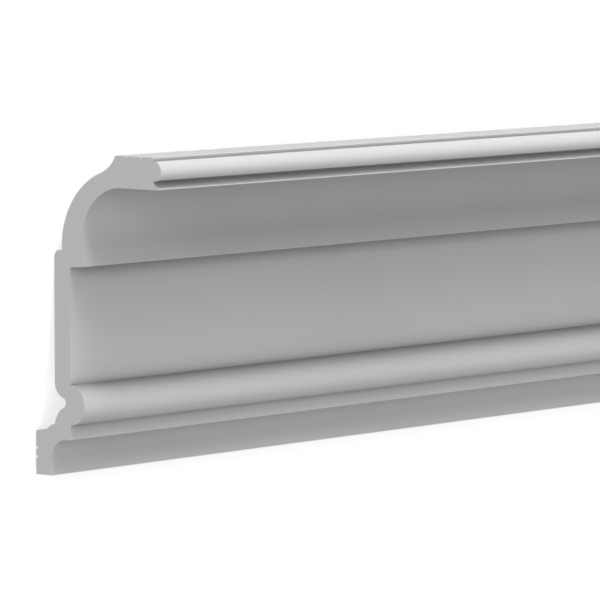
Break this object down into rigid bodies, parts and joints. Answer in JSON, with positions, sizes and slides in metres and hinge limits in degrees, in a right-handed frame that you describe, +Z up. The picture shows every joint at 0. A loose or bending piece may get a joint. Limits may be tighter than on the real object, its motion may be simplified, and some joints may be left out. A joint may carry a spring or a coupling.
{
  "type": "cornice moulding",
  "caption": "Straight ceiling cornice with a cove under a rounded nose, a plain frieze, a half-round bead and a thin wall foot, hollowed at the back.",
  "frame": {"origin": "middle of the length and of the depth, on the floor that the moulding lies on, back down", "axes": "+X along the length, +Y towards the ceiling edge of the moulding, +Z up and out of its show face"},
  "size_m": [2, 0.2124, 0.0807],
  "materials": {
    "primed_foam": "matt white primer over rigid polyurethane foam, plain sawn ends"
  },
  "bodies": {
    "root": {"cornice_moulding": "primed_foam"}
  },
  "joints": []
}
